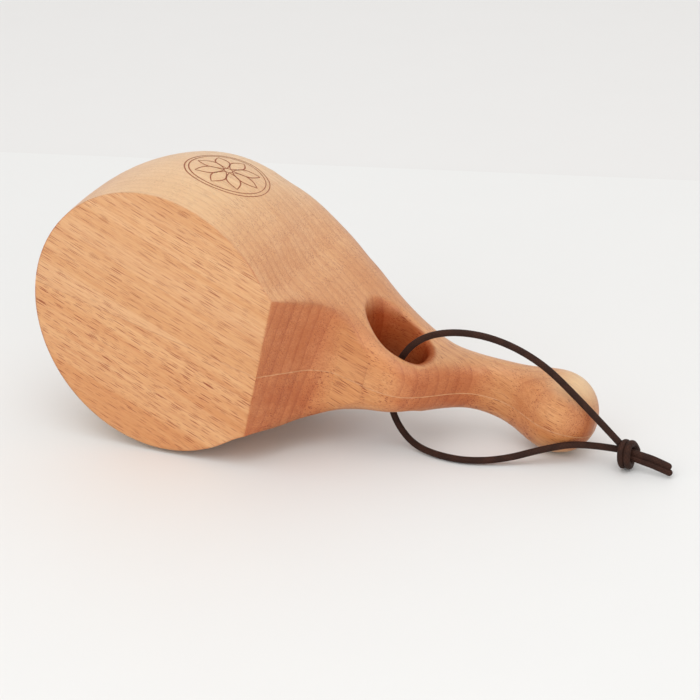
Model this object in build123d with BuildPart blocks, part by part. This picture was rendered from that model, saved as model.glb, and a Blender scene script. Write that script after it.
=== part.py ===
from build123d import *
import os
from math import acos, atan2, cos, hypot, pi, sin, sqrt, tan

os.makedirs("parts", exist_ok=True)

# ---------------------------------------------------------------- dimensions
# The cup is drawn upright: base on z = 0, handle along +X, then laid on its side.

# bowl
base_radius = 40.0
belly_radius = 41.3
belly_height = 19.5
belly_fall = 5.2
cup_height = 50.0
rim_rounding_start = 42.0
rim_rounding = 1.2
mouth_radius = 31.2
wall_bottom_radius = 18.0
inside_belly_radius = 34.0
floor_thickness = 10.0

# flat cut under the handle root
chord_x = 34.6
facet_top = (42.5, 12.6)
heel_end = (50.5, 18.4)

# handle stations: x, underside, top, half width, flare towards the rim, squareness
handle_stations = [
    (34.0, -10.0, 53.0, 25.2, 0.09, 6.0),
    (39.0, -6.0, 52.2, 23.2, 0.11, 5.0),
    (44.0, 1.5, 51.4, 20.9, 0.12, 4.3),
    (49.0, 9.5, 50.5, 18.6, 0.11, 3.8),
    (54.0, 15.6, 49.6, 16.4, 0.07, 3.5),
    (62.0, 18.2, 48.6, 13.3, 0.02, 3.3),
    (70.0, 20.2, 48.2, 10.6, 0.00, 3.0),
    (77.0, 27.3, 48.2, 8.8, 0.00, 2.8),
    (85.0, 37.0, 48.8, 8.2, 0.00, 2.7),
    (93.0, 40.2, 49.3, 8.8, 0.00, 2.7),
    (102.0, 38.4, 50.9, 10.6, 0.00, 2.7),
    (110.0, 36.0, 52.2, 12.2, 0.00, 2.6),
]
root_shoulder = 1.6
neck_drift = 1.2
bowl_inset = 0.5
tip_x = 122.3
section_points = 32

# finger hole through the handle root
hole_x = 63.2
hole_z = 30.4
hole_half_length = 8.7
hole_half_height = 6.0
lip_radius = 1.8
rim_radius = 1.5

# glue line between the two boards
seam_y = 2.5
glue_thickness = 0.3

# lying on its side: bowl and handle tip both touch the table
droop = 15.3
lying_origin = (-38.5, -26.1, 41.37)

# cord: the knot, then the upper strand, the finger hole and the strand on the table
cord_diameter = 2.0
knot_centre = (90.9, 13.2, 4.45)
knot_radius = 4.4
knot_length = 5.6
cord_route = [
    (89.1, 12.8, 7.5),
    (73.6, 9.7, 25.3),
    (64.2, 8.0, 33.2),
    (53.0, 6.0, 38.1),
    (41.5, 4.0, 39.0),
    (32.0, 2.4, 36.0),
    (25.6, 1.7, 28.6),
    (21.8, 3.2, 18.0),
    (20.8, 5.2, 10.6),
    (23.6, 4.5, 5.1),
    (29.4, 2.0, 1.7),
    (37.5, -0.5, 1.15),
    (47.4, -0.9, 1.15),
    (57.4, 2.8, 1.8),
    (67.8, 7.7, 4.8),
    (77.6, 12.1, 6.4),
    (89.2, 13.6, 5.5),
]
tail_routes = [
    ((91.5, 13.2, 5.2), (96.4, 13.2, 5.0), (103.2, 12.9, 3.4)),
    ((91.5, 12.9, 3.5), (96.2, 12.9, 3.3), (103.6, 12.4, 1.5)),
]


# ---------------------------------------------------------------- cup blank
def outer_radius(z):
    """Outside radius of the bowl at height z."""
    z = min(max(z, 0), cup_height)
    if z < belly_height:
        return belly_radius - (belly_radius - base_radius) * (1 - z / belly_height) ** 2
    fall = belly_fall * ((z - belly_height) / 28) ** 2
    rounding = rim_rounding * (max(0, z - rim_rounding_start) / 8) ** 3
    return belly_radius - fall - rounding


def closing(z, low, high, power):
    """Share of the full width left at height z by the rounded corners."""
    up = abs(2 * z - low - high) / (high - low)
    return (1 - min(up, 1) ** power) ** (1 / power)


def root_half_width(z):
    """Half width of the cup at the first handle station, at height z."""
    x, low, high, wide, flare, power = handle_stations[0]
    lean = 1 + flare * (2 * z - low - high) / (high - low)
    return wide * lean * closing(z, low, high, power)


def bowl_half_width(x, z):
    """Half width of the bowl at x: its circle, then the tangent to the handle root."""
    radius = outer_radius(z)
    root_x = handle_stations[0][0]
    reach = hypot(root_x, root_half_width(z))
    turn = atan2(root_half_width(z), root_x) + acos(min(1, radius / reach))
    shoulder = root_shoulder * (z / cup_height) ** 2 * sin(pi * max(0, x - 6) / 30) ** 2
    if x < radius * cos(turn):
        return sqrt(radius ** 2 - x * x) + shoulder
    return (radius - x * cos(turn)) / sin(turn) + shoulder


def section_ring(x, low, high, half_width, flare, power):
    """Points round a section of the cup at x, y across the handle and z up."""
    centre = (low + high) / 2
    half = (high - low) / 2
    drift = neck_drift * sin(pi * min(max(x - 50, 0), 62) / 62)
    ring = []
    for k in range(section_points):
        a = 2 * pi * k / section_points
        reach = (abs(cos(a)) ** power + abs(sin(a)) ** power) ** (-1 / power)
        up = reach * sin(a)
        across = reach * cos(a)
        z = centre + half * up
        side = half_width * (1 + flare * up)
        if x < handle_stations[0][0]:
            near = min(max(z, 0), cup_height)
            side = (bowl_half_width(x, near) - half_width) / closing(near, low, high, power)
        ring.append((side * across + drift, z))
    return ring


def section_plane(x):
    return Plane(origin=(x, 0, 0), x_dir=(0, 1, 0), z_dir=(1, 0, 0))


with BuildPart() as handle:
    stations = []
    for x in (4, 10, 16, 22, 28):
        inset = bowl_inset * (1 - x / 24)
        stations.append((x, -10.0 - (34 - x) / 10, 53.0 + (34 - x) / 10, inset, 0, 6.0))
    stations += handle_stations
    last_x, low, high, wide, flare, power = handle_stations[-1]
    for part_way in (0.5, 0.8, 0.94, 0.985):
        shrink = sqrt(1 - part_way ** 2.2)
        mid = (low + high) / 2
        half = (high - low) / 2 * shrink
        station_x = last_x + (tip_x - last_x) * part_way
        stations.append((station_x, mid - half, mid + half, wide * shrink, flare, power))
    for x, low, high, wide, flare, power in stations:
        with BuildSketch(section_plane(x)):
            with BuildLine():
                Spline(*section_ring(x, low, high, wide, flare, power), periodic=True)
            make_face()
    loft()

with BuildPart() as blank:
    with BuildSketch(Plane.XZ):
        with BuildLine():
            Spline([(outer_radius(z), z) for z in range(0, 51, 5)])
            Polyline((outer_radius(50), 50), (0, 50), (0, 0), (base_radius, 0))
        make_face()
    revolve(axis=Axis.Z)
    add(handle.part)
    # slope and hollow under the handle root
    with BuildSketch(Plane.XZ):
        with BuildLine():
            slope = Line((chord_x, 0), facet_top)
            hollow = TangentArc(facet_top, heel_end, tangent=slope % 1)
            Polyline(heel_end, (60, heel_end[1]), (60, -20), (chord_x, -20), (chord_x, 0))
        make_face()
    extrude(amount=60, both=True, mode=Mode.SUBTRACT)
    # flat base and rim planes
    with Locations((0, 0, -10)):
        Box(300, 200, 20, mode=Mode.SUBTRACT)
    with Locations((0, 0, cup_height + 10)):
        Box(120, 200, 20, mode=Mode.SUBTRACT)
    # inside of the bowl
    with BuildSketch(Plane.XZ):
        with BuildLine():
            Line((0, floor_thickness), (wall_bottom_radius, floor_thickness))
            Spline(
                (wall_bottom_radius, floor_thickness),
                (inside_belly_radius - 2.6, 17),
                (inside_belly_radius, 29),
                (mouth_radius, cup_height),
                tangents=((1, 0.05), (-0.16, 1)),
            )
            Line((mouth_radius, cup_height), (mouth_radius + 0.6, cup_height + 8))
            Line((mouth_radius + 0.6, cup_height + 8), (0, cup_height + 8))
            Line((0, cup_height + 8), (0, floor_thickness))
        make_face()
    revolve(axis=Axis.Z, mode=Mode.SUBTRACT)

with BuildPart() as finger_hole:
    for y in (-40, -26, -17, -11, -6, 0, 6, 11, 17, 26, 40):
        spread = y * y / 85
        with BuildSketch(Plane(origin=(hole_x, y, hole_z), x_dir=(1, 0, 0), z_dir=(0, -1, 0))):
            Ellipse(hole_half_length + spread, hole_half_height + spread)
    loft()

with BuildPart() as wood:
    add(blank.part)
    add(finger_hole.part, mode=Mode.SUBTRACT)
    mouths = []
    rim = []
    for edge in wood.edges():
        box = edge.bounding_box()
        round_the_hole = box.min.X > 45 and box.max.X < 80 and box.min.Z > 19 and box.max.Z < 44
        if round_the_hole and box.size.X > 5 and (box.max.Y < -4 or box.min.Y > 4):
            mouths.append(edge)
        if box.min.Z > cup_height - 0.05 and box.max.Z < cup_height + 0.05:
            rim.append(edge)
    fillet(mouths, lip_radius)
    fillet(rim, rim_radius)

# ---------------------------------------------------------------- boards and glue
with BuildPart() as upper_blank:
    add(wood.part)
    split(bisect_by=Plane.XZ.offset(glue_thickness / 2 - seam_y), keep=Keep.TOP)

with BuildPart() as lower_blank:
    add(wood.part)
    split(bisect_by=Plane.XZ.offset(-glue_thickness / 2 - seam_y), keep=Keep.BOTTOM)

with BuildPart() as glue_blank:
    add(wood.part)
    with Locations((0, seam_y, 0)):
        Box(400, glue_thickness, 400, mode=Mode.INTERSECT)

lean = droop * pi / 180
lying = Plane(origin=lying_origin, x_dir=(cos(lean), 0, -sin(lean)), z_dir=(0, 1, 0))

with BuildPart() as upper_board:
    with Locations(lying.location):
        add(upper_blank.part)

with BuildPart() as lower_board:
    with Locations(lying.location):
        add(lower_blank.part)

with BuildPart() as glue_line:
    with Locations(lying.location):
        add(glue_blank.part)

# ---------------------------------------------------------------- cord
def bend_radii(points):
    """A radius for each corner that leaves a tenth of the shorter run straight."""
    radii = []
    for before, here, after in zip(points, points[1:], points[2:]):
        run_in = Vector(here) - Vector(before)
        run_out = Vector(after) - Vector(here)
        half_turn = run_in.get_angle(run_out) * pi / 360
        radii.append(0.45 * min(run_in.length, run_out.length) / tan(half_turn))
    return radii

cord_radii = bend_radii(cord_route)
print("bend radii", [round(r, 1) for r in cord_radii])

with BuildPart() as cord_loop:
    with BuildLine():
        loop_path = FilletPolyline(*cord_route, radius=cord_radii)
    with BuildSketch(Plane(origin=loop_path @ 0, z_dir=loop_path % 0)):
        Circle(cord_diameter / 2)
    sweep()
loop_length = loop_path.length
print("cord length", round(loop_length, 1))
print("volume share", round(cord_loop.part.volume / (pi * loop_length), 4))

with BuildPart() as cord_knot:
    with BuildSketch(Plane(origin=knot_centre, x_dir=(1, 0, 0), z_dir=(0, -1, 0))):
        with Locations((0, knot_radius / 2)):
            Rectangle(knot_length, knot_radius)
        outer = [corner for corner in vertices() if corner.Y > knot_radius - 0.1]
        fillet(outer, 2)
    revolve(axis=Axis(knot_centre, (1, 0, 0)))
    for route in tail_routes:
        with BuildLine():
            tail_path = FilletPolyline(*route, radius=12)
        with BuildSketch(Plane(origin=tail_path @ 0, z_dir=tail_path % 0)):
            Circle(cord_diameter / 2)
        sweep(path=tail_path)
        with Locations(route[-1]):
            Sphere(cord_diameter / 2)

# ---------------------------------------------------------------- output
upper_board.part.label = "upper_board"
lower_board.part.label = "lower_board"
glue_line.part.label = "glue_line"
cord_loop.part.label = "cord_loop"
cord_knot.part.label = "cord_knot"
export_step(upper_board.part, "parts/upper_board.step")
export_step(lower_board.part, "parts/lower_board.step")
export_step(glue_line.part, "parts/glue_line.step")
export_step(cord_loop.part, "parts/cord_loop.step")
export_step(cord_knot.part, "parts/cord_knot.step")
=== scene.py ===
import math

import bmesh
import bpy
from mathutils import Matrix, Vector
from mathutils.bvhtree import BVHTree


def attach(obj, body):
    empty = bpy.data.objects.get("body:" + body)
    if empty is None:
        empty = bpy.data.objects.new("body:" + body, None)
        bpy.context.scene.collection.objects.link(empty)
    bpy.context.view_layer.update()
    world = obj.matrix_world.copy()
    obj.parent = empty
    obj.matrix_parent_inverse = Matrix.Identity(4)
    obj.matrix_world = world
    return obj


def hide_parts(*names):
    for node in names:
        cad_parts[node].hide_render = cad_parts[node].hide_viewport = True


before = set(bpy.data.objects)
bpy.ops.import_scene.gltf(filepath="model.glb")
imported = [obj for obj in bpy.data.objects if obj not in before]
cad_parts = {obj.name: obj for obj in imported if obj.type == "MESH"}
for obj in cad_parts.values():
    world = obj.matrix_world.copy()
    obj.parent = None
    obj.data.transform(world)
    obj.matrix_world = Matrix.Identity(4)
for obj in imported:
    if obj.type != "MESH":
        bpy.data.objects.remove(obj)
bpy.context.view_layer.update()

MM = 0.001

# ---------------------------------------------------------------- the cup's own axes
# The cup is turned upright for grain and decoration: base at z = 0, handle along +x,
# -y up as it lies. Sizes below are in mm, and so are points on the table.
DROOP = math.radians(15.3)
LYING_ORIGIN = Vector((-38.5, -26.1, 41.37))
CUP_X = Vector((math.cos(DROOP), 0, -math.sin(DROOP)))
CUP_Y = Vector((-math.sin(DROOP), 0, -math.cos(DROOP)))
CUP_Z = Vector((0, 1, 0))
SEAM_Y = 2.5
HOLE_X, HOLE_Z, HOLE_REACH = 63.2, 30.4, (8.7, 6.0)


def from_cup(point):
    """A point in the upright cup's axes, as a point of the lying cup."""
    x, y, z = point
    return LYING_ORIGIN + CUP_X * x + CUP_Y * y + CUP_Z * z


def placed(name, data):
    """A new object in the scene that holds the given data."""
    made = bpy.data.objects.new(name, data)
    bpy.context.scene.collection.objects.link(made)
    return made


# ---------------------------------------------------------------- shader helpers
class Nodes:
    """Short ways to add shader nodes to one material."""

    def __init__(self, name):
        self.material = bpy.data.materials.new(name)
        self.material.use_nodes = True
        self.tree = self.material.node_tree
        self.tree.nodes.clear()

    def put(self, socket, value):
        """Links a socket to another one, or sets its value."""
        if isinstance(value, bpy.types.NodeSocket):
            self.tree.links.new(value, socket)
        else:
            socket.default_value = value

    def add(self, kind, inputs=(), **settings):
        node = self.tree.nodes.new(kind)
        for key, value in settings.items():
            setattr(node, key, value)
        for key, value in dict(inputs).items():
            self.put(node.inputs[key], value)
        return node

    def in_mm(self):
        """The place on the object, in mm."""
        return self.scaled(self.add("ShaderNodeTexCoord").outputs["Object"], (1 / MM,) * 3)

    def math(self, operation, a, b=0.0, c=0.0):
        return self.add("ShaderNodeMath", {0: a, 1: b, 2: c}, operation=operation).outputs[0]

    def scaled(self, vector, scale, offset=(0, 0, 0)):
        """Multiplies a vector by a size per axis, then adds an offset."""
        inputs = {0: vector, 1: scale, 2: offset}
        return self.add("ShaderNodeVectorMath", inputs, operation="MULTIPLY_ADD").outputs[0]

    def noise(self, vector, scale=1.0, detail=2.0, roughness=0.5):
        inputs = {"Vector": vector, "Scale": scale, "Detail": detail, "Roughness": roughness}
        return self.add("ShaderNodeTexNoise", inputs).outputs["Fac"]

    def ramp(self, value, low, high, out_low=0.0, out_high=1.0):
        """A smooth step between two values."""
        inputs = {"Value": value, "From Min": low, "From Max": high,
                  "To Min": out_low, "To Max": out_high}
        return self.add("ShaderNodeMapRange", inputs,
                        interpolation_type="SMOOTHSTEP").outputs["Result"]

    def mix(self, factor, a, b, blend="MIX"):
        node = self.add("ShaderNodeMix", data_type="RGBA", blend_type=blend)
        # inputs 6 and 7 are the two colours
        for number, value in ((0, factor), (6, a), (7, b)):
            self.put(node.inputs[number], value)
        return node.outputs[2]

    def multiply(self, factor, colour, tint):
        return self.mix(factor, colour, (*tint, 1), blend="MULTIPLY")

    def dot(self, vector, other):
        return self.add("ShaderNodeVectorMath", {0: vector, 1: other},
                        operation="DOT_PRODUCT").outputs["Value"]

    def length(self, vector):
        return self.add("ShaderNodeVectorMath", {0: vector},
                        operation="LENGTH").outputs["Value"]

    def bump(self, height, distance, strength, normal=None):
        inputs = {"Height": height, "Distance": distance, "Strength": strength}
        if normal is not None:
            inputs["Normal"] = normal
        return self.add("ShaderNodeBump", inputs).outputs["Normal"]

    def finish(self, **inputs):
        shader = self.add("ShaderNodeBsdfPrincipled", inputs)
        output = self.add("ShaderNodeOutputMaterial")
        self.tree.links.new(shader.outputs[0], output.inputs[0])
        return self.material


def srgb(red, green, blue):
    """A linear colour from everyday 0-255 values."""
    def linear(value):
        value /= 255
        return value / 12.92 if value <= 0.04045 else ((value + 0.055) / 1.055) ** 2.4
    return (linear(red), linear(green), linear(blue), 1)


# ---------------------------------------------------------------- wood
GRAIN_TURN = math.radians(9)
LAYER_GAP = 2.6
LAYER_TILT = 0.13
FIBRE_BROWN = srgb(190, 114, 62)
LAYER_BROWN = srgb(174, 94, 48)
FLECK_BROWN = srgb(150, 64, 22)
PORE_BROWN = srgb(150, 78, 38)
# the pale colour of the painted sheen on faces turned up or down as the cup lies
PAINTED_SHEEN = srgb(238, 215, 172)
END_GRAIN_SHADE_TINT = (0.84, 0.53, 0.38)
HANDLE_TINT = (0.885, 0.735, 0.585)
SIDE_SHADE_TINT = (0.90, 0.89, 0.88)
HOLE_SHADE_TINT = (0.61, 0.37, 0.34)
# along the cup's x: where the handle turns darker, where the painted sheen on the bowl's sides
# fades, and where the painted sheen on the handle's end begins and is palest
HANDLE_SPAN = (26, 52)
SHEEN_ON_SIDES = (0, 34)
SHEEN_ON_END = (100, 116)
# the eased edges' least radius in mm, and how much it grows away from base and hole
EASED_LEAST, EASED_MORE = 1.1, 4.0


def eased_normal(n, y, z, from_hole):
    """The normal with sanded edges eased, more so away from the base and the hole."""
    easier = n.math("MULTIPLY", n.ramp(z, 1, 10), n.ramp(from_hole, 1.3, 2.2))
    radius = n.math("MULTIPLY_ADD", easier, EASED_MORE, EASED_LEAST)
    # the flush joint between the boards is left alone
    from_seam = n.math("ABSOLUTE", n.math("SUBTRACT", y, SEAM_Y))
    easing = n.ramp(n.math("DIVIDE", from_seam, radius), 1.2, 1.8)
    eased = n.add("ShaderNodeBevel", {"Radius": n.math("MULTIPLY", radius, MM)}, samples=8)
    blend = n.add("ShaderNodeMix", data_type="VECTOR")
    # inputs 4 and 5 are the two vectors
    n.put(blend.inputs[0], easing)
    n.put(blend.inputs[4], n.add("ShaderNodeNewGeometry").outputs["Normal"])
    n.put(blend.inputs[5], eased.outputs[0])
    return blend.outputs[1]


def ray_flecks(n, p, size):
    """Slim dark spindles lying along the fibres, coarse ones and fine ones."""
    flecks = []
    for number, grow in enumerate((1.0, 0.6)):
        long, thin = size[0] * grow, size[1] * grow
        place = n.scaled(p, (1 / long, 1 / thin, 1 / thin), (5.3 * number, 3.1 * number, 0))
        cell = n.add("ShaderNodeTexVoronoi",
                     {"Vector": place, "Scale": 1.0, "Randomness": 1.0},
                     feature="F1", distance="EUCLIDEAN")
        chance = n.add("ShaderNodeSeparateColor", {0: cell.outputs["Color"]}).outputs[0]
        reach = n.math("MULTIPLY_ADD", chance, 0.20, 0.18)
        spot = n.ramp(n.math("SUBTRACT", reach, cell.outputs["Distance"]), 0.0, 0.08)
        flecks.append(n.math("MULTIPLY", spot, n.ramp(chance, 0.0, 0.9, 0.35, 1.0)))
    both = n.math("MAXIMUM", flecks[0], n.math("MULTIPLY", flecks[1], 0.7))
    patch = n.noise(n.scaled(p, (0.03, 0.12, 0.12)))
    return n.math("MULTIPLY", both, n.ramp(patch, 0.35, 0.6, 0.75, 1.0))


def beech(name, light, dark, fleck_size, fleck_depth, shift):
    """Oiled beech: fibres along the handle, growth layers, ray flecks and soft pores."""
    n = Nodes(name)
    turn = Matrix((CUP_X, CUP_Y, CUP_Z))
    upright = n.add("ShaderNodeMapping", {"Vector": n.in_mm(),
                                          "Location": -(turn @ LYING_ORIGIN),
                                          "Rotation": turn.to_euler("XYZ")}).outputs[0]
    x, y, z = n.add("ShaderNodeSeparateXYZ", {0: upright}).outputs
    # the boards' grain runs a few degrees off the handle
    along = n.add("ShaderNodeVectorRotate", {"Vector": upright, "Angle": -GRAIN_TURN},
                  rotation_type="Z_AXIS").outputs[0]
    p = n.add("ShaderNodeVectorMath", {0: along, 1: shift}).outputs[0]

    # distance from the finger hole's axis: 1 at the wall of its narrowest part
    reach_x, reach_z = HOLE_REACH
    from_hole = n.length(n.scaled(upright, (1 / reach_x, 0, 1 / reach_z),
                                  (-HOLE_X / reach_x, 0, -HOLE_Z / reach_z)))

    # how much the surface faces along the grain, sideways, and along the cup's height
    facing = eased_normal(n, y, z, from_hole)
    end_grain = n.math("ABSOLUTE", n.dot(facing, CUP_X))
    side_grain = n.math("ABSOLUTE", n.dot(facing, CUP_Y))
    flat_grain = n.math("ABSOLUTE", n.dot(facing, CUP_Z))

    # growth layers, nearly flat sheets parallel to the base
    sway = n.noise(n.scaled(p, (0.016, 0.03, 0.03)), 1.0, 1.0, 0.4)
    ripple = n.noise(n.scaled(p, (0.05, 0.16, 0.1)))
    tilted = n.dot(p, (0, LAYER_TILT, 1))
    depth = n.math("MULTIPLY_ADD", sway, 2.0, n.math("MULTIPLY_ADD", ripple, 0.5, tilted))
    layer = n.math("MULTIPLY_ADD", depth, 1 / LAYER_GAP, 0.05)
    late_wood = n.math("POWER", n.math("FRACT", layer), 4.0)
    layer_tone = n.noise(n.add("ShaderNodeCombineXYZ", {0: layer}).outputs[0], 0.9, 1.0)
    layers = n.math("MULTIPLY_ADD", late_wood, 0.40, n.ramp(layer_tone, 0.3, 0.7, 0.0, 0.12))
    layers = n.math("MULTIPLY", layers, n.ramp(flat_grain, 0.75, 1.0, 1.0, 0.3))

    # fibres: very long and thin along the grain
    fibre = n.noise(n.scaled(p, (0.06, 1.7, 1.7)), 1.0, 3.0, 0.75)
    streak = n.noise(n.scaled(p, (0.008, 0.30, 0.30)), 1.0, 3.0, 0.6)
    band = n.noise(n.scaled(p, (0.004, 0.085, 0.085)), 1.0, 1.0)
    tone = n.ramp(n.math("MULTIPLY_ADD", streak, 0.5, n.math("MULTIPLY", band, 0.5)), 0.38, 0.62)
    fleck = ray_flecks(n, p, fleck_size)
    pores = n.noise(n.scaled(p, (0.5, 7.0, 7.0)), 1.0, 2.0, 0.6)

    colour = n.mix(tone, light, dark)
    colour = n.mix(n.ramp(fibre, 0.38, 0.66, 0.0, 0.36), colour, FIBRE_BROWN)
    colour = n.mix(layers, colour, LAYER_BROWN)
    colour = n.mix(n.math("MULTIPLY", fleck, fleck_depth), colour, FLECK_BROWN)
    colour = n.mix(n.ramp(pores, 0.58, 0.8, 0.0, 0.25), colour, PORE_BROWN)
    # end grain soaks up more oil, so it is darker and redder; part of this tint is painted shade
    ends = n.math("MULTIPLY", n.ramp(end_grain, 0.02, 0.95, 0.0, 0.9),
                  n.ramp(flat_grain, 0.1, 0.6, 0.40, 1.0))
    colour = n.multiply(ends, colour, END_GRAIN_SHADE_TINT)

    # the handle is darker and redder; painted sheen pales faces turned up or down as the cup
    # lies, on the bowl's sides and the handle's end
    colour = n.multiply(n.ramp(x, *HANDLE_SPAN), colour, HANDLE_TINT)
    painted_sheen = n.math("MAXIMUM", n.ramp(x, *SHEEN_ON_SIDES, 0.42, 0.13), n.ramp(x, *SHEEN_ON_END, 0.0, 0.60))
    colour = n.mix(n.math("MULTIPLY", n.ramp(side_grain, 0.2, 1.0), painted_sheen), colour, PAINTED_SHEEN)
    # painted shade: all faces but those turned along the cup's height, such as the base, are a
    # little darker
    colour = n.multiply(n.ramp(flat_grain, 0.3, 0.9, 1.0, 0.0), colour, SIDE_SHADE_TINT)
    # painted shade darkens the inside of the finger hole, which is also left unpolished
    in_hole = n.ramp(from_hole, 1.20, 1.42, 1.0, 0.0)
    colour = n.multiply(in_hole, colour, HOLE_SHADE_TINT)
    polish = n.math("SUBTRACT", 1.0, in_hole)

    rough = n.math("MULTIPLY_ADD", fibre, 0.16, 0.36)
    rough = n.math("MULTIPLY_ADD", fleck, 0.12, rough)
    relief = n.math("MULTIPLY_ADD", fleck, -0.8, n.math("MULTIPLY", pores, -0.5))
    grain = n.bump(fibre, 0.05 * MM, 0.5, facing)
    grain = n.bump(relief, 0.05 * MM, 0.7, grain)
    return n.finish(**{"Base Color": colour, "Roughness": rough, "Normal": grain,
                       "IOR": 1.45, "Specular IOR Level": n.math("MULTIPLY", polish, 0.5),
                       "Coat Weight": n.math("MULTIPLY", polish, 0.30),
                       "Coat Roughness": 0.38,
                       "Subsurface Weight": 0.05, "Subsurface Scale": 1.2 * MM,
                       "Subsurface Radius": (1.0, 0.45, 0.2)})


# ---------------------------------------------------------------- glue, cord and burnt lines
def mottled(name, noise, low, high, colours, roughness, relief):
    """A plain finish whose colour and roughness vary a little from place to place."""
    n = Nodes(name)
    mottle = n.noise(n.in_mm(), *noise)
    return n.finish(**{"Base Color": n.mix(n.ramp(mottle, low, high), *colours),
                       "Roughness": n.ramp(mottle, 0.3, 0.7, *roughness),
                       "Normal": n.bump(mottle, *relief)})


def waxed_cord(name):
    """Dark brown braided cord: two sets of strands crossing round it, with a waxed sheen."""
    n = Nodes(name)
    run = n.add("ShaderNodeSeparateXYZ", {0: n.add("ShaderNodeUVMap", uv_map="cord").outputs[0]})
    along, around, _ = run.outputs
    strands = 6.0
    turn_a = n.math("MULTIPLY_ADD", along, 1.0, n.math("MULTIPLY", around, strands))
    turn_b = n.math("SUBTRACT", along, n.math("MULTIPLY", around, strands))
    waves = []
    for turn in (turn_a, turn_b):
        waves.append(n.math("ABSOLUTE", n.math("SINE", n.math("MULTIPLY", turn, math.pi))))
    weave = n.math("MAXIMUM", waves[0], waves[1])
    groove_shade = n.math("MINIMUM", waves[0], waves[1])
    place = n.in_mm()
    lint = n.noise(place, 6.0, 3.0, 0.65)
    wear = n.noise(place, 0.35)
    colour = n.mix(n.ramp(wear, 0.35, 0.7), srgb(47, 26, 18), srgb(60, 34, 24))
    # painted shade: the grooves between the strands are darker
    colour = n.mix(n.ramp(groove_shade, 0.0, 0.5, 0.55, 0.0), colour, srgb(20, 11, 9))
    colour = n.mix(n.ramp(lint, 0.5, 0.8, 0.0, 0.3), colour, srgb(92, 62, 50))
    height = n.math("MULTIPLY_ADD", lint, 0.35, weave)
    return n.finish(**{"Base Color": colour,
                       "Roughness": n.ramp(lint, 0.3, 0.7, 0.55, 0.75),
                       "Specular IOR Level": 0.15,
                       "Sheen Weight": 0.02, "Sheen Roughness": 0.5,
                       "Normal": n.bump(height, 0.12 * MM, 0.8)})


upper_wood = beech("beech_upper", srgb(228, 179, 130), srgb(217, 160, 107),
                   (7.4, 0.30), 0.86, (0, 0, 0))
lower_wood = beech("beech_lower", srgb(226, 174, 122), srgb(211, 147, 92),
                   (6.4, 0.38), 1.0, (310, 170, 43.4))
cord_material = waxed_cord("waxed_cord")
glue_material = mottled("wood_glue", (0.6, 3.0, 0.6), 0.35, 0.7,
                        (srgb(210, 156, 112), srgb(188, 130, 86)), (0.4, 0.6),
                        (0.03 * MM, 0.5))
for node, material in (("upper_board", upper_wood), ("lower_board", lower_wood),
                       ("glue_line", glue_material)):
    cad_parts[node].data.materials.clear()
    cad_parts[node].data.materials.append(material)


# ---------------------------------------------------------------- cord
CORD = 2.0
CORD_SIDES = 20
CAP_ANGLES = (0.35, 0.7, 1.1, 1.45)
STRAND_ROUTE = [
    (89.1, 12.8, 7.5), (73.6, 9.7, 25.3), (64.2, 8.0, 33.2), (53.0, 6.0, 38.1),
    (41.5, 4.0, 39.0), (32.0, 2.4, 36.0), (25.6, 1.7, 28.6), (21.8, 3.2, 18.0),
    (20.8, 5.2, 10.6), (23.6, 4.5, 5.1), (29.4, 2.0, 1.7), (37.5, -0.5, 1.15),
    (47.4, -0.9, 1.15), (57.4, 2.8, 1.8), (67.8, 7.7, 4.8), (77.6, 12.1, 6.4),
    (89.2, 13.6, 5.5),
]


def spline_points(name, points):
    """Points along a smooth spline whose control points are given in mm."""
    data = bpy.data.curves.new(name, "CURVE")
    data.dimensions = "3D"
    data.resolution_u = 24
    spline = data.splines.new("NURBS")
    spline.points.add(len(points) - 1)
    for control, point in zip(spline.points, points):
        control.co = (*(Vector(point) * MM), 1)
    spline.order_u = 3
    spline.use_endpoint_u = True
    holder = placed(name, data)
    mesh = bpy.data.meshes.new_from_object(holder)
    line = [vertex.co.copy() for vertex in mesh.vertices]
    bpy.data.objects.remove(holder)
    bpy.data.meshes.remove(mesh)
    return line


def tube(name, line, radius, round_ends=False):
    """A closed mesh tube along a line, with a map of its length and its way round."""
    mesh = bmesh.new()
    layer = mesh.loops.layers.uv.new("cord")
    ahead = [(b - a).normalized() for a, b in zip(line, line[1:])]
    ahead = [ahead[0]] + [(a + b).normalized() for a, b in zip(ahead, ahead[1:])] + [ahead[-1]]
    side = ahead[0].orthogonal().normalized()
    stops = [(point, way, 1.0) for point, way in zip(line, ahead)]
    if round_ends:
        first, last = ahead[0], ahead[-1]
        stops = ([(line[0] - first * radius * math.sin(a), first, math.cos(a))
                  for a in reversed(CAP_ANGLES)] + stops
                 + [(line[-1] + last * radius * math.sin(a), last, math.cos(a))
                    for a in CAP_ANGLES])
    rings = []
    runs = []
    run = 0.0
    for k, (point, way, share) in enumerate(stops):
        if k:
            run += (point - stops[k - 1][0]).length
        side = (side - way * side.dot(way)).normalized()
        other = way.cross(side)
        ring = []
        for s in range(CORD_SIDES):
            a = 2 * math.pi * s / CORD_SIDES
            ring.append(mesh.verts.new(point + (side * math.cos(a) + other * math.sin(a))
                                       * radius * share))
        rings.append(ring)
        runs.append(run / radius)
    for k, (ring, following) in enumerate(zip(rings, rings[1:])):
        for s in range(CORD_SIDES):
            t = (s + 1) % CORD_SIDES
            face = mesh.faces.new((ring[s], ring[t], following[t], following[s]))
            face.smooth = True
            corners = ((runs[k], s), (runs[k], s + 1), (runs[k + 1], s + 1), (runs[k + 1], s))
            for loop, (along, around) in zip(face.loops, corners):
                loop[layer].uv = (along, around / CORD_SIDES)
    mesh.faces.new(reversed(rings[0]))
    mesh.faces.new(rings[-1])
    data = bpy.data.meshes.new(name)
    mesh.to_mesh(data)
    mesh.free()
    made = placed(name, data)
    data.materials.append(cord_material)
    return made


strand_line = spline_points("strand_route", STRAND_ROUTE)
strand = tube("cord_strand", strand_line, CORD / 2 * MM)
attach(strand, "root")
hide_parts("cord_loop")

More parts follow.
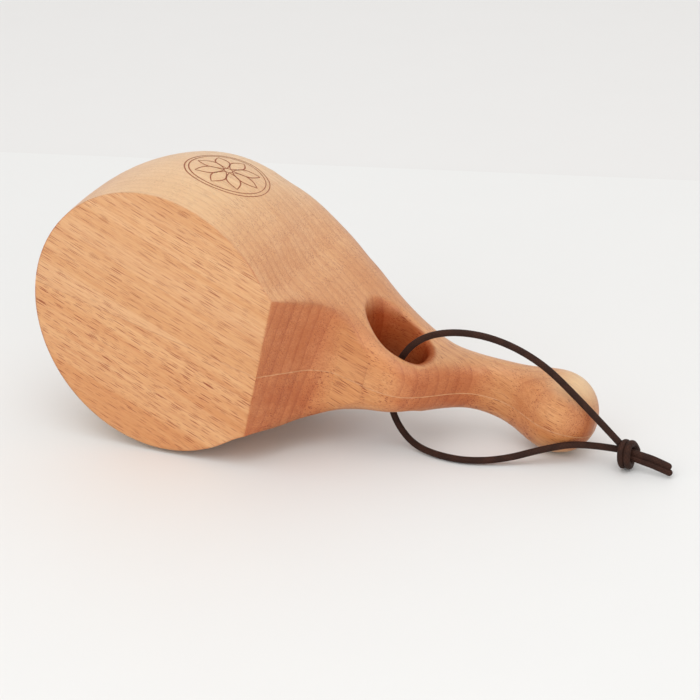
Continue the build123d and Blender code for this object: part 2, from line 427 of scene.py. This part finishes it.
# The knot: one end is wound as a tight leaning coil round the other, and both come out
# as tails. All in mm, the coil from the knot's centre.
KNOT_CENTRE = Vector((90.9, 13.2, 4.6))
COIL_STEPS = 19
COIL_FIRST_TURN, COIL_STEP_TURN = 20, -41
COIL_START, COIL_PITCH, COIL_LEAN = -2.1, 0.21, -0.12
COIL_DEPTH, COIL_HEIGHT = 3.1, 3.55
TAILS = [
    [(88.9, 13.3, 5.7), (92.0, 13.2, 5.6), (94.8, 13.1, 5.1), (99.0, 13.0, 4.5),
     (103.2, 12.8, 3.2)],
    [(88.9, 12.9, 4.4), (92.0, 12.8, 4.2), (94.9, 12.7, 3.5), (99.2, 12.4, 2.9),
     (103.6, 12.3, 1.6)],
]


def knot_coil():
    line = []
    for k in range(COIL_STEPS):
        a = math.radians(COIL_FIRST_TURN + COIL_STEP_TURN * k)
        rise = COIL_HEIGHT * math.sin(a)
        forward = COIL_START + COIL_PITCH * k + COIL_LEAN * rise
        line.append(tuple(KNOT_CENTRE + Vector((forward, COIL_DEPTH * math.cos(a), rise))))
    return line


knot_parts = []
for number, route in enumerate([knot_coil(), *TAILS]):
    line = spline_points("knot_route", route)
    knot_parts.append(tube(f"knot_part_{number}", line, CORD / 2 * MM, round_ends=True))
bpy.ops.object.select_all(action="DESELECT")
for part in knot_parts:
    part.select_set(True)
bpy.context.view_layer.objects.active = knot_parts[0]
bpy.ops.object.join()
knot = knot_parts[0]
knot.name = "cord_knot_tied"
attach(knot, "root")
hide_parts("cord_knot")


# ---------------------------------------------------------------- burnt decoration
ROSETTE_X, ROSETTE_Z = 2.0, 27.0
RING_RADII = (12.6, 11.4)
EYE_RADIUS = 1.3
PETALS = 8
PETAL_STEPS = 20
PETAL_START, PETAL_LENGTH, PETAL_BULGE = 1.4, 8.6, 2.1
RING_LINE, PETAL_LINE = 0.4, 0.42
RIBBON_LIFT = 0.04

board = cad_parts["upper_board"].data
wood_surface = BVHTree.FromPolygons([vertex.co.copy() for vertex in board.vertices],
                                    [list(polygon.vertices) for polygon in board.polygons])


def on_wall(x, z):
    """The point and outward direction on the cup's upper side wall over x, z of the cup."""
    start = from_cup((x, -80, z)) * MM
    hit, normal, _, _ = wood_surface.ray_cast(start, CUP_Y, 0.1)
    return hit, (normal if normal.dot(CUP_Y) < 0 else -normal)


def burnt_ribbon(mesh, line, width):
    """A thin ribbon along a line on the wall, narrowing to its ends, just proud of the wood."""
    spots = [on_wall(x, z) for x, z in line]
    before = None
    for k, (spot, normal) in enumerate(spots):
        way = (spots[min(k + 1, len(spots) - 1)][0] - spots[max(k - 1, 0)][0]).normalized()
        share = 0.35 + 0.65 * math.sin(math.pi * (k + 0.5) / len(spots)) ** 0.5
        across = normal.cross(way).normalized() * width / 2 * share * MM
        lift = normal * RIBBON_LIFT * MM
        pair = [mesh.verts.new(spot + lift - across), mesh.verts.new(spot + lift + across)]
        if before:
            mesh.faces.new((before[0], before[1], pair[1], pair[0]))
        before = pair


def ring_line(radius, steps):
    """Points on a circle about the rosette's centre."""
    turns = [2 * math.pi * k / steps for k in range(steps + 1)]
    return [(ROSETTE_X + radius * math.cos(a), ROSETTE_Z + radius * math.sin(a)) for a in turns]


def petal_line(turn, bulge):
    """Points on one edge of a petal, from the rosette's centre outwards."""
    line = []
    for k in range(PETAL_STEPS + 1):
        s = k / PETAL_STEPS
        out = PETAL_START + PETAL_LENGTH * s
        aside = bulge * math.sin(math.pi * s)
        line.append((ROSETTE_X + out * math.cos(turn) - aside * math.sin(turn),
                     ROSETTE_Z + out * math.sin(turn) + aside * math.cos(turn)))
    return line


decoration = bmesh.new()
for radius in RING_RADII:
    burnt_ribbon(decoration, ring_line(radius, 96), RING_LINE)
for petal in range(PETALS):
    for bulge in (-PETAL_BULGE, PETAL_BULGE):
        burnt_ribbon(decoration, petal_line(math.radians(petal * 360 / PETALS), bulge),
                     PETAL_LINE)
burnt_ribbon(decoration, ring_line(EYE_RADIUS, 32), RING_LINE)
rosette_data = bpy.data.meshes.new("burnt_rosette")
decoration.to_mesh(rosette_data)
decoration.free()
rosette = placed("burnt_rosette", rosette_data)
rosette_data.materials.append(mottled("burnt_line", (2.2, 3.0, 0.6), 0.3, 0.75,
                                      (srgb(124, 62, 38), srgb(166, 96, 60)), (0.6, 0.8),
                                      (0.05 * MM, 0.6)))
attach(rosette, "root")


# ---------------------------------------------------------------- table and light
# metres
FLOOR_REACH = 4.0
FLOOR_DROP = 0.0006


def plain(name, colour, roughness):
    n = Nodes(name)
    place = n.add("ShaderNodeTexCoord").outputs["Object"]
    mottle = n.noise(place, 40.0, 3.0)
    darker = tuple(c * 0.985 for c in colour[:3]) + (1,)
    return n.finish(**{"Base Color": n.mix(mottle, colour, darker), "Roughness": roughness})


def panel(name, height, corners, material):
    data = bpy.data.meshes.new(name)
    data.from_pydata([(x, y, height) for x, y in corners], [], [(0, 1, 2, 3)])
    made = placed(name, data)
    data.materials.append(material)


# a pale floor, and on it a slightly lighter sheet whose far edge passes behind the cup
panel("floor", -FLOOR_DROP,
      [(FLOOR_REACH * x, FLOOR_REACH * y) for x, y in ((-1, -1), (1, -1), (1, 1), (-1, 1))],
      plain("pale_floor", srgb(222, 221, 220), 0.8))
panel("sheet", 0, [(-3.03, -0.43), (-3.03, -4), (2.83, -4), (2.83, 0.85)],
      plain("pale_sheet", srgb(224, 224, 223), 0.6))


def softbox(name, position, target, size, power, tint=(1, 1, 1)):
    """A square soft light that looks at a target."""
    data = bpy.data.lights.new(name, "AREA")
    data.shape = "RECTANGLE"
    data.size = data.size_y = size
    data.energy = power
    data.color = tint
    made = placed(name, data)
    made.location = position
    made.rotation_mode = "QUATERNION"
    made.rotation_quaternion = (Vector(target) - made.location).to_track_quat("-Z", "Y")


softbox("key_light", (-0.2, -1.05, 0.72), (0, 0, 0.03), 0.8, 1.2, (1, 0.99, 0.975))
softbox("fill_light", (0.95, -0.75, 0.36), (0, 0, 0.02), 0.6, 2.0)
softbox("top_light", (0.1, -0.42, 1.15), (0, 0, 0), 1.1, 5.2)

world = bpy.data.worlds.new("studio")
bpy.context.scene.world = world
world.use_nodes = True
background = world.node_tree.nodes["Background"]
background.inputs["Color"].default_value = (1.0, 0.995, 0.985, 1)
background.inputs["Strength"].default_value = 0.91
bpy.context.scene.view_settings.view_transform = "Standard"

# ---------------------------------------------------------------- camera
HEADING, PITCH, ROLL = math.radians(27.77), math.radians(24.38), math.radians(3.06)
camera_data = bpy.data.cameras.new("camera")
camera_data.sensor_width = 36.0
camera_data.lens = 123.43
camera_data.clip_start, camera_data.clip_end = 0.05, 20
camera = placed("camera", camera_data)
camera.location = (0.30463, -0.5577, 0.31562)
camera.rotation_mode = "QUATERNION"
camera.rotation_quaternion = (Matrix.Rotation(HEADING, 3, "Z")
                              @ Matrix.Rotation(math.pi / 2 - PITCH, 3, "X")
                              @ Matrix.Rotation(-ROLL, 3, "Z")).to_quaternion()
bpy.context.scene.camera = camera
